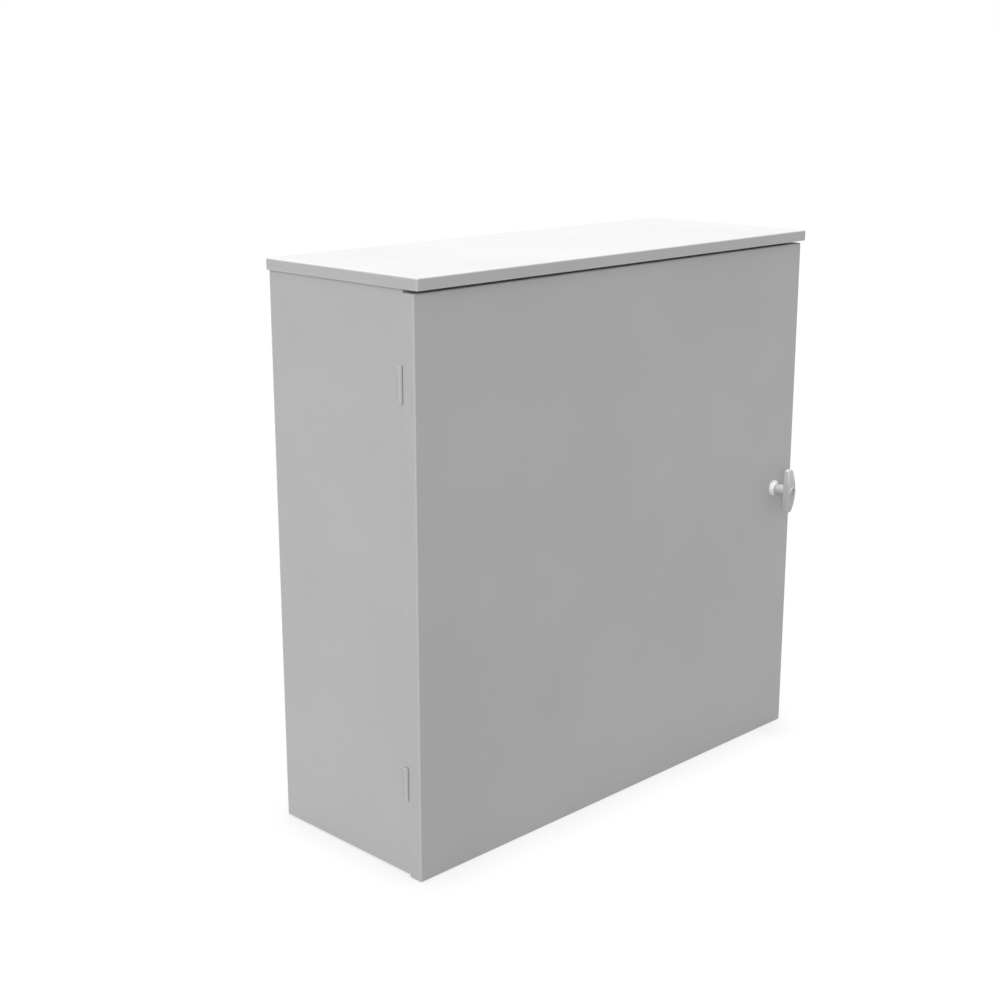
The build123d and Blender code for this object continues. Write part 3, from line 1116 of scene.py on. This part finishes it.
@dataclass
class Latch:
    """T-handle latch: rosette, handle, lock cylinder, cam and the fasteners that hold them.

    Attributes:
        place: Frame on the cover's face, with Z out to the front.
        rosette_radius: Outside radius of the rosette.
        rosette_edge: Height of its rim.
        rosette_height: Height of its neck.
        neck_radius: Radius of its neck.
        bell_rise: Power of the bell's height along its profile.
        bell_taper: Power of its way in from rim to neck.
        thread_radius: Outside radius of its threaded barrel.
        thread_flats: Distance between the barrel's flats.
        thread_pitch: Rise of the barrel's thread in one turn.
        barrel_end: Height of the barrel's inner end, below zero.
        journal_radius: Radius of the handle's bearing.
        stem_radius: Radius of the stem.
        shoulder: Height where the stem starts.
        stand_off: Height of the back of the grip.
        grip_half: Half the length of the grip.
        end_half: Half its width at the ends.
        middle_half: Half its width in the middle.
        end_height: Height of its front over its back at the ends.
        middle_height: The same in the middle.
        corner: Radius of its corners, seen from the front.
        edge: Radius round its front edge.
        side_crown: Fall of the front from its middle line to its edge.
        plug_radius: Radius of the lock cylinder.
        plug_length: Its length.
        plug_recess: Depth of its face below the middle of the grip.
        plug_rim: Width of the chamfer round it.
        collar_radius: Radius of the collar round the lock.
        collar_height: How far the collar stands out from the middle of the grip.
        keyway_half_width: Half the width of the keyway.
        keyway_half_length: Half its length.
        keyway_depth: Its depth.
        ward_levels: Middle of the ward on each side, as a share of the keyway's half length.
        ward_width: Half its width, as such a share.
        ward_reach: How far it stands into the keyway, as a share of the half width.
        shaft_half: Half the side of the square shaft.
        shaft_top: Height where the square starts.
        shaft_end: Height where it ends.
        bolt_radius: Radius of the cam's bolt.
    """

    place: Place
    rosette_radius: float = 0.012
    rosette_edge: float = 0.0018
    rosette_height: float = 0.0062
    neck_radius: float = 0.0083
    bell_rise: float = 1.25
    bell_taper: float = 0.85
    thread_radius: float = 0.009
    thread_flats: float = 0.016
    thread_pitch: float = 0.0015
    barrel_end: float = -0.01152
    journal_radius: float = 0.006
    stem_radius: float = 0.0078
    shoulder: float = 0.0065
    stand_off: float = 0.0236
    grip_half: float = 0.033
    end_half: float = 0.0053
    middle_half: float = 0.0082
    end_height: float = 0.0064
    middle_height: float = 0.0114
    corner: float = 0.004
    edge: float = 0.0013
    side_crown: float = 0.0003
    plug_radius: float = 0.0054
    plug_length: float = 0.013
    plug_recess: float = 0.001
    plug_rim: float = 0.0003
    collar_radius: float = 0.0066
    collar_height: float = 0.0008
    keyway_half_width: float = 0.00065
    keyway_half_length: float = 0.0033
    keyway_depth: float = 0.008
    ward_levels: tuple[float, float] = (0.25, -0.3)
    ward_width: float = 0.16
    ward_reach: float = 0.5
    shaft_half: float = 0.004
    shaft_top: float = -0.01182
    shaft_end: float = -0.01427
    bolt_radius: float = 0.003

    def rosette(self) -> list[Patch]:
        """The bell and the threaded barrel behind it.

        From rim to neck the bell's height grows as one power of the way along, and its radius shrinks as
        another, which makes it hollow.

        Returns:
            Two surfaces.
        """
        edge = self.rosette_edge / 2
        bore = self.journal_radius + TURNING_SLACK
        mouth = 2e-4
        rim = (self.rosette_radius - edge, edge)
        profile = [(bore, 0.0)]
        profile += rounded(rim, edge, -90, 0)
        profile += rounded(rim, edge, 0, 60)
        share = np.linspace(0, 1, 22)[1:]
        foot = profile[-1]
        rise = foot[1] + (self.rosette_height - foot[1]) * share**self.bell_rise
        inward = foot[0] + (self.neck_radius - foot[0]) * share**self.bell_taper
        profile += list(zip(inward.tolist(), rise.tolist()))
        profile += [(bore + mouth, self.rosette_height), (bore, self.rosette_height - mouth)]
        thread = Thread(
            self.thread_radius,
            self.thread_pitch,
            low=self.barrel_end,
            high=0.0,
            flats=self.thread_flats,
            columns=80,
        )
        inner = (column(bore, bore), column(0.0, self.barrel_end))
        barrel = stacked(self.place, [inner, thread.rows()], thread.columns, closed=True)
        return [turned(self.place, profile, closed=True, columns=96), barrel]

    def outline(self) -> np.ndarray:
        """The grip seen from the front: arcs along its sides, straight ends and a round at each corner.

        The long side is an arc through both ends and the middle. The corner's centre lies on a circle
        inside that arc, one corner radius in from it and from the end.

        Returns:
            Points as columns by two, once round.
        """
        bulge = self.middle_half - self.end_half
        radius = (self.grip_half**2 + bulge**2) / (2 * bulge)
        centre = self.middle_half - radius
        end = self.grip_half - self.corner
        turn_x = centre + math.sqrt((radius - self.corner) ** 2 - end**2)
        tangent = math.atan2(end, turn_x - centre)
        side = np.linspace(0, tangent, 26)
        turn = np.linspace(tangent, math.pi / 2, 10)[1:]
        straight = np.linspace(turn_x, 0, 5)[1:]
        flat = np.full(len(straight), self.grip_half)
        turn_points = (turn_x + self.corner * np.cos(turn), end + self.corner * np.sin(turn))
        x = np.concatenate([centre + radius * np.cos(side), turn_points[0], straight])
        y = np.concatenate([radius * np.sin(side), turn_points[1], flat])
        quarter = np.stack([x, y], axis=-1)
        half = np.concatenate([quarter, (quarter * (-1, 1))[-2::-1]])
        return np.concatenate([half[:-1], -half[:-1]])

    def front_height(self, spot: np.ndarray) -> np.ndarray:
        """Height of the grip's front: an arc along its length, less a little towards its sides.

        Args:
            spot: Points whose last dimension is X and Y.

        Returns:
            Height at each point.
        """
        fall = self.middle_height - self.end_height
        radius = (self.grip_half**2 + fall**2) / (2 * fall)
        along = np.sqrt(radius**2 - spot[..., 1] ** 2) - radius
        sides = (spot[..., 0] / self.middle_half) ** 2
        return self.stand_off + self.middle_height + along - self.side_crown * sides

    def handle(self) -> list[Patch]:
        """Grip, stem and bearing as one skin, and the square shaft.

        Columns follow the grip's outline. Rows go from the floor of the lock's bore up to its collar, out
        over the front, round the edge, down the side, in along the back to the stem and down it.

        Returns:
            Two surfaces.
        """
        path = self.outline()
        length = np.linalg.norm(path, axis=-1, keepdims=True)
        ray = path / length
        step = np.roll(path, -1, axis=0) - np.roll(path, 1, axis=0)
        normal = np.stack([step[:, 1], -step[:, 0]], axis=-1)
        normal /= np.linalg.norm(normal, axis=-1, keepdims=True)
        bore = self.plug_radius + TURNING_SLACK
        crown = self.stand_off + self.middle_height
        floor = crown - self.plug_recess - self.plug_length
        top = crown + self.collar_height
        soft = self.plug_rim
        foot = ray * (self.collar_radius + soft / 2)
        rows = []

        def ring(spots: np.ndarray, height: object) -> None:
            """Adds a row of points at a height."""
            level = np.broadcast_to(height, spots.shape[:1])
            rows.append(np.concatenate([spots, level[:, None]], axis=-1))

        ring(ray * 0, floor)
        ring(ray * bore, floor)
        ring(ray * bore, top - soft)
        ring(ray * (bore + soft), top)
        for lean in arc(90, 0, 5):
            inward = soft * (1 - math.cos(lean))
            ring(ray * (self.collar_radius - inward), top - soft * (1 - math.sin(lean)))
        ring(ray * self.collar_radius, self.front_height(foot) + soft / 2)
        inset = path - normal * self.edge
        for share in np.linspace(0, 1, 9):
            spot = foot * (1 - share) + inset * share
            ring(spot, self.front_height(spot))
        for lean in arc(80, 0, 9):
            spot = path - normal * self.edge * (1 - math.cos(lean))
            ring(spot, self.front_height(inset) - self.edge * (1 - math.sin(lean)))
        back_edge = 1.5e-4
        foot_edge = 1e-4
        ring(path, self.stand_off + back_edge)
        ring(path - normal * back_edge, self.stand_off)
        ring(ray * self.stem_radius, self.stand_off)
        ring(ray * self.stem_radius, self.shoulder + foot_edge)
        ring(ray * (self.stem_radius - foot_edge), self.shoulder)
        ring(ray * self.journal_radius, self.shoulder)
        ring(ray * self.journal_radius, self.shaft_top)
        ring(ray * 0, self.shaft_top)
        low, high = self.shaft_end, self.shaft_top
        corner = self.shaft_half * math.sqrt(2)
        tip_row = 3e-4
        levels = column(high, high, low + tip_row, low, low)
        square = polar(column(0, corner, corner, corner, 0), around(4) + TURN / 8, levels)
        return [Patch(self.place.put(np.stack(rows))), Patch(self.place.put(square))]

    def lock_cylinder(self) -> Patch:
        """Cylinder with a keyway.

        Columns follow the keyway's outline and rows go from its floor to the back. The keyway is a slot
        with a bell-shaped ward that stands into it from each side, at a different height.

        Returns:
            Closed surface.
        """
        steps = np.linspace(-1, 1, 30)
        sides = []
        for side, level in zip((1, -1), self.ward_levels):
            ward = self.ward_reach * np.exp(-(((steps - level) / self.ward_width) ** 2))
            across = side * self.keyway_half_width * (1 - ward)
            sides.append(np.stack([across, steps * self.keyway_half_length], axis=-1)[::side])
        slot = np.concatenate(sides)
        ray = slot / np.linalg.norm(slot, axis=-1, keepdims=True)
        face = self.stand_off + self.middle_height - self.plug_recess
        chamfer = 3e-4
        bevel = 1.5e-4
        rim = self.plug_radius
        face_ring = rim * 0.7
        rows = [
            (slot * 0, face - self.keyway_depth),
            (slot, face - self.keyway_depth),
            (slot, face - bevel),
            (slot + ray * bevel, face),
            (ray * face_ring, face),
            (ray * (rim - chamfer), face),
            (ray * rim, face - chamfer),
            (ray * rim, face - self.plug_length),
            (ray * 0, face - self.plug_length),
        ]
        grid = [np.insert(spot, 2, height, axis=-1) for spot, height in rows]
        return Patch(self.place.put(np.stack(grid)))

    def build(self, dressing: Dressing) -> None:
        """Makes the latch's pieces and dresses its cam."""
        # The rosette's lighter casting is a painted highlight on its bell.
        bright = dressing.painted_highlight_casting
        face = dressing.lock.build(self.place.origin)
        key = [self.lock_cylinder()]
        dressing.fit(
            "rosette_casting", self.rosette(), Body.COVER, Slot.CASTING, "latch_rosette", material=bright
        )
        dressing.fit("handle_casting", self.handle(), Body.HANDLE, Slot.CASTING, "t_handle")
        dressing.fit("lock_cylinder", key, Body.PLUG, Slot.LOCK, "lock_plug", material=face)
        self.fasteners(dressing)
        dressing.cover_node("latch_cam", dressing.plain[Slot.PLATED])

    def fasteners(self, dressing: Dressing) -> None:
        """Makes the washer and locknut behind the cover, and the washer and bolt on the cam."""
        axis = Place(self.place.origin, z=-self.place.z)
        bore = self.thread_radius + THREAD_SLACK
        ring = washer_in(axis, "latch_washer", bore)
        dressing.fit("rosette_washer", [ring], Body.COVER, Slot.PLATED, "latch_washer")
        nut = nut_in(axis, "latch_locknut", bore)
        dressing.fit("rosette_nut", [nut], Body.COVER, Slot.PLATED, "latch_locknut")
        ring = washer_in(axis, "cam_washer", self.bolt_radius + THREAD_SLACK)
        dressing.fit("cam_ring", [ring], Body.HANDLE, Slot.PLATED, "cam_washer")
        washer_low, washer_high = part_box("cam_washer")
        low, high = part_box("cam_bolt")
        seat = seat_on(axis, "cam_washer").lifted(washer_high.y - washer_low.y)
        head = Hex(high.z - low.z, high.y - washer_high.y).patch(seat)
        tip = low.y - washer_high.y
        radius = self.bolt_radius
        bevel = 5e-4
        profile = [(0, 0), (radius, 0), (radius, tip + bevel), (radius - bevel, tip), (0, tip)]
        bolt = [head, turned(seat, profile)]
        dressing.fit("cam_screw", bolt, Body.HANDLE, Slot.PLATED, "cam_bolt")


@dataclass
class PanelMounting:
    """Mounting panel, its collar studs with washers and nuts, and the bonding stud.

    Attributes:
        stud_pitch: Rise of the panel studs' thread in one turn.
        bonding_pitch: Rise of the bonding stud's thread in one turn.
        stud_radius: Outside radius of a panel stud's thread.
        collar_radius: Radius of its collar.
        stand_off: Height of the collar.
        bonding_radius: Outside radius of the bonding stud's thread.
        bonding_foot: Height of its plain foot.
    """

    stud_pitch: float = 0.00125
    bonding_pitch: float = 0.00127
    stud_radius: float = 0.004
    collar_radius: float = 0.007
    stand_off: float = 0.019
    bonding_radius: float = 0.0032
    bonding_foot: float = 0.0006

    def corners(self, node: str, reach: float) -> list[tuple[float, float]]:
        """Centres of four pieces at the corners of a node's box.

        Args:
            node: Node with the four pieces.
            reach: Half the size of one piece.

        Returns:
            Centres as X and Z.
        """
        low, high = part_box(node)
        xs = (low.x + reach, high.x - reach)
        zs = (low.z + reach, high.z - reach)
        return [(x, z) for x in xs for z in zs]

    def stud(self, place: Place, length: float) -> Patch:
        """A collar with a small chamfer, then a thread to the tip.

        Args:
            place: Frame on the back sheet.
            length: Whole length.

        Returns:
            Closed surface.
        """
        thread = Thread(self.stud_radius, self.stud_pitch, self.stand_off, length)
        bevel = 4e-4
        collar = (
            column(0, self.collar_radius, self.collar_radius, self.collar_radius - bevel),
            column(0, 0, self.stand_off - bevel, self.stand_off),
        )
        return stacked(place, [collar, thread.rows(), (column(0), column(length))], thread.columns)

    def bonding_stud(self, place: Place, length: float) -> Patch:
        """A weld stud: a low plain foot, then a thread to the tip.

        Args:
            place: Frame on the back sheet.
            length: Whole length.

        Returns:
            Closed surface.
        """
        thread = Thread(self.bonding_radius, self.bonding_pitch, self.bonding_foot, length)
        foot = (column(0, self.bonding_radius, self.bonding_radius), column(0, 0, self.bonding_foot))
        return stacked(place, [foot, thread.rows(), (column(0), column(length))], thread.columns)

    def build(self, dressing: Dressing) -> None:
        """Makes studs, washers and nuts, and dresses the panel."""
        dressing.paint_node("back_panel", dressing.enamel)
        low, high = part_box("panel_studs")
        centres = self.corners("panel_studs", self.collar_radius)
        studs = [self.stud(Place(Vector((x, high.y, z))), high.y - low.y) for x, z in centres]
        dressing.fit("collar_studs", studs, Body.BOX, Slot.PLATED, "panel_studs")
        self.panel_rings(dressing, centres)
        axis = foot_of("ground_washer")
        bore = self.bonding_radius + THREAD_SLACK
        ring = washer_in(axis, "ground_washer", bore)
        dressing.fit("bonding_ring", [ring], Body.BOX, Slot.PLATED, "ground_washer")
        nut = nut_in(axis, "ground_nut", bore)
        dressing.fit("bonding_hex", [nut], Body.BOX, Slot.GREEN, "ground_nut")
        low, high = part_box("ground_stud")
        stud = self.bonding_stud(foot_of("ground_stud"), high.y - low.y)
        dressing.fit("bonding_stud", [stud], Body.BOX, Slot.PLATED, "ground_stud")

    def panel_rings(self, dressing: Dressing, centres: list[tuple[float, float]]) -> None:
        """Makes the washers and nuts on the panel's studs.

        Args:
            dressing: Finishes, and the call that places a piece.
            centres: Centres of the studs as X and Z.
        """
        washer_low, washer_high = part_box("panel_washers")
        nut_low, nut_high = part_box("panel_nuts")
        height = washer_high.y - washer_low.y
        outer = (washer_high.x - washer_low.x - (centres[-1][0] - centres[0][0])) / 2
        flats = nut_high.z - nut_low.z - (centres[-1][1] - centres[0][1])
        bore = self.stud_radius + THREAD_SLACK
        seats = [Place(Vector((x, washer_high.y, z))) for x, z in centres]
        washers = [washer(seat, outer, bore, height) for seat in seats]
        dressing.fit("panel_rings", washers, Body.BOX, Slot.PLATED, "panel_washers")
        nut = Hex(flats, nut_high.y - nut_low.y, bore)
        nuts = [nut.patch(seat.lifted(height)) for seat in seats]
        dressing.fit("panel_hexes", nuts, Body.BOX, Slot.PLATED, "panel_nuts")


@dataclass
class Studio:
    """Camera, overhead light, low fill light, pale surroundings and a pale floor.

    Attributes:
        eye: Place of the camera.
        tilt: Angle of the camera from straight down, in degrees.
        heading: Its turn about Z, in degrees.
        lens: Focal length in millimetres.
        sensor: Width of the sensor in millimetres.
        ambient: Strength of the surroundings as they light the object.
        key: Strength of the overhead light.
        key_from: Direction that it comes from.
        key_spread: Angle that it covers, in degrees.
        fill: Strength of the low light on the left.
        fill_from: Direction that it comes from.
        fill_spread: Angle that it covers, in degrees.
        floor_size: Side of the floor.
        floor_gap: How far it lies below the enclosure.
        floor_tone: Grey of the floor as it lights the object.
        floor_shade: Grey of the floor in that part of it that shows shading.
        floor_shadow: Share of the floor's own shading that the camera sees.
    """

    eye: Vector = Vector((-1.67658, -1.71153, 0.63632))
    tilt: float = 75.0
    heading: float = -45.0
    lens: float = 60.08
    sensor: float = 36.0
    ambient: float = 0.62
    key: float = 1.24
    key_from: Vector = Vector((0.0, 0.0, 1.0))
    key_spread: float = 8.0
    fill: float = 0.8
    fill_from: Vector = Vector((-0.88, -0.46, 0.12))
    fill_spread: float = 60.0
    floor_size: float = 60.0
    floor_gap: float = 5e-4
    floor_tone: float = 0.2
    floor_shade: float = 0.54
    floor_shadow: float = 0.25

    def camera(self) -> None:
        """Places the camera."""
        data = bpy.data.cameras.new("camera")
        data.lens = self.lens
        data.sensor_width = self.sensor
        data.clip_end = self.floor_size * 2
        camera = bpy.data.objects.new("camera", data)
        camera.location = self.eye
        camera.rotation_euler = (math.radians(self.tilt), 0.0, math.radians(self.heading))
        bpy.context.scene.collection.objects.link(camera)
        bpy.context.scene.camera = camera

    def lights(self) -> None:
        """Sets the surroundings and both lights.

        The surroundings are white to the camera and to reflections, and dimmer where they light the
        object.
        """
        scene = bpy.context.scene
        scene.view_settings.view_transform = "Standard"
        scene.world = bpy.data.worlds.new("surroundings")
        scene.world.use_nodes = True
        tree = Tree(scene.world.node_tree)
        seen = self.seen(tree)
        dim = 1 - self.ambient
        level = tree.math("MULTIPLY_ADD", seen, dim, self.ambient)
        background = scene.world.node_tree.nodes["Background"]
        background.inputs["Color"].default_value = grey(1.0)
        tree.feed(background.inputs["Strength"], level)
        self.lamp("overhead", self.key, self.key_from, self.key_spread)
        self.lamp("low_fill", self.fill, self.fill_from, self.fill_spread)

    def lamp(self, name: str, strength: float, source: Vector, spread: float) -> None:
        """Adds one broad light.

        Args:
            name: Name of the light.
            strength: Level on a white surface that faces it.
            source: Direction that it comes from.
            spread: Angle that it covers, in degrees.
        """
        data = bpy.data.lights.new(name, "SUN")
        data.energy = strength * math.pi
        data.angle = math.radians(spread)
        light = bpy.data.objects.new(name, data)
        light.rotation_euler = source.to_track_quat("Z", "Y").to_euler()
        bpy.context.scene.collection.objects.link(light)

    def seen(self, tree: Tree) -> Socket:
        """One for rays from the camera, from reflections and through glass, and zero for the rest."""
        path = tree.add("ShaderNodeLightPath")
        sight = tree.math("MAXIMUM", path.outputs["Is Camera Ray"], path.outputs["Is Glossy Ray"])
        return tree.math("MAXIMUM", sight, path.outputs["Is Transmission Ray"])

    def floor(self) -> None:
        """Lays a white floor under the enclosure that keeps a faint shadow."""
        half = self.floor_size / 2
        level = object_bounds()[0].z - self.floor_gap
        side = np.linspace(-half, half, 2)
        x, y = np.meshgrid(side, side, indexing="ij")
        points = np.stack([x, y, np.full_like(x, level)], axis=-1)
        floor = make_piece("floor", [Patch(points, closed_columns=False)])
        material = bpy.data.materials.new("pale_floor")
        material.use_nodes = True
        nodes = material.node_tree.nodes
        nodes.remove(nodes["Principled BSDF"])
        tree = Tree(material.node_tree)
        shaded = tree.add("ShaderNodeBsdfDiffuse", {"Color": grey(self.floor_shade)})
        white = tree.add("ShaderNodeEmission", {"Color": grey(1.0), "Strength": 1.0})
        dull = tree.add("ShaderNodeBsdfDiffuse", {"Color": grey(self.floor_tone)})
        shown = tree.add("ShaderNodeMixShader", {"Fac": self.floor_shadow})
        tree.feed(shown.inputs[1], white.outputs[0])
        tree.feed(shown.inputs[2], shaded.outputs[0])
        both = tree.add("ShaderNodeMixShader", {"Fac": self.seen(tree)})
        tree.feed(both.inputs[1], dull.outputs[0])
        tree.feed(both.inputs[2], shown.outputs[0])
        tree.feed(nodes["Material Output"].inputs["Surface"], both.outputs[0])
        floor.data.materials.append(material)
        floor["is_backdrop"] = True

    def build(self) -> None:
        """Sets up camera, lights and floor."""
        self.camera()
        self.lights()
        self.floor()


def finishes() -> Dressing:
    """Chooses the finishes.

    Returns:
        Finishes for every piece.
    """
    white = (0.78, 0.78, 0.76, 1.0)
    greens = ((0.12, 0.4, 0.17, 1.0), (0.07, 0.28, 0.11, 1.0), (0.1, 0.3, 0.12, 1.0))
    silver = ((0.405, 0.415, 0.425, 1.0), (0.38, 0.39, 0.4, 1.0))
    # Lighter copy of the casting's colours for the rosette: a painted highlight on its bell.
    bright = ((0.64, 0.65, 0.66, 1.0), (0.6, 0.61, 0.62, 1.0))
    return Dressing(
        # Each coat's second colour is lighter, along folded edges: thin coat, and a painted highlight
        # along the bends.
        paint=PowderCoat("grey_coat", grey(0.45), grey(0.5)),
        enamel=PowderCoat(
            "white_enamel", white, grey(0.8), drift=0.006, depth=2e-5, roughness=0.34, gloss_drift=0.015
        ),
        painted_highlight_casting=Casting("painted_highlight_casting", *bright).build(),
        lock=TurnedFace("turned_lock_face", grey(0.6), grey(0.4), pitch=0.00035),
        plain={
            Slot.PLATED: Plating("zinc_plate", grey(0.72), grey(0.52), (0.6, 0.57, 0.48, 1.0)).build(),
            Slot.GREEN: Plating("green_plate", *greens, roughness=0.4).build(),
            Slot.CASTING: Casting("satin_casting", *silver).build(),
        },
    )


def latch_place() -> Place:
    """Frame of the latch: on the handle's axis, at the cover's face.

    Returns:
        The frame.
    """
    joint = next(j for j in frame["joints"] if j["name"] == "handle_turn")
    x, _, z = joint["pos_m"]
    return Place(Vector((x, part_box("cover")[0].y, z)))


def main() -> None:
    """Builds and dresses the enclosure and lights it."""
    logging.basicConfig(level=logging.INFO, format="%(name)s: %(message)s")
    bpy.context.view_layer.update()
    dressing = finishes()
    Sheets().build(dressing)
    Hinges().build(dressing)
    Latch(latch_place()).build(dressing)
    PanelMounting().build(dressing)
    Studio().build()


if __name__ == "__main__":
    main()
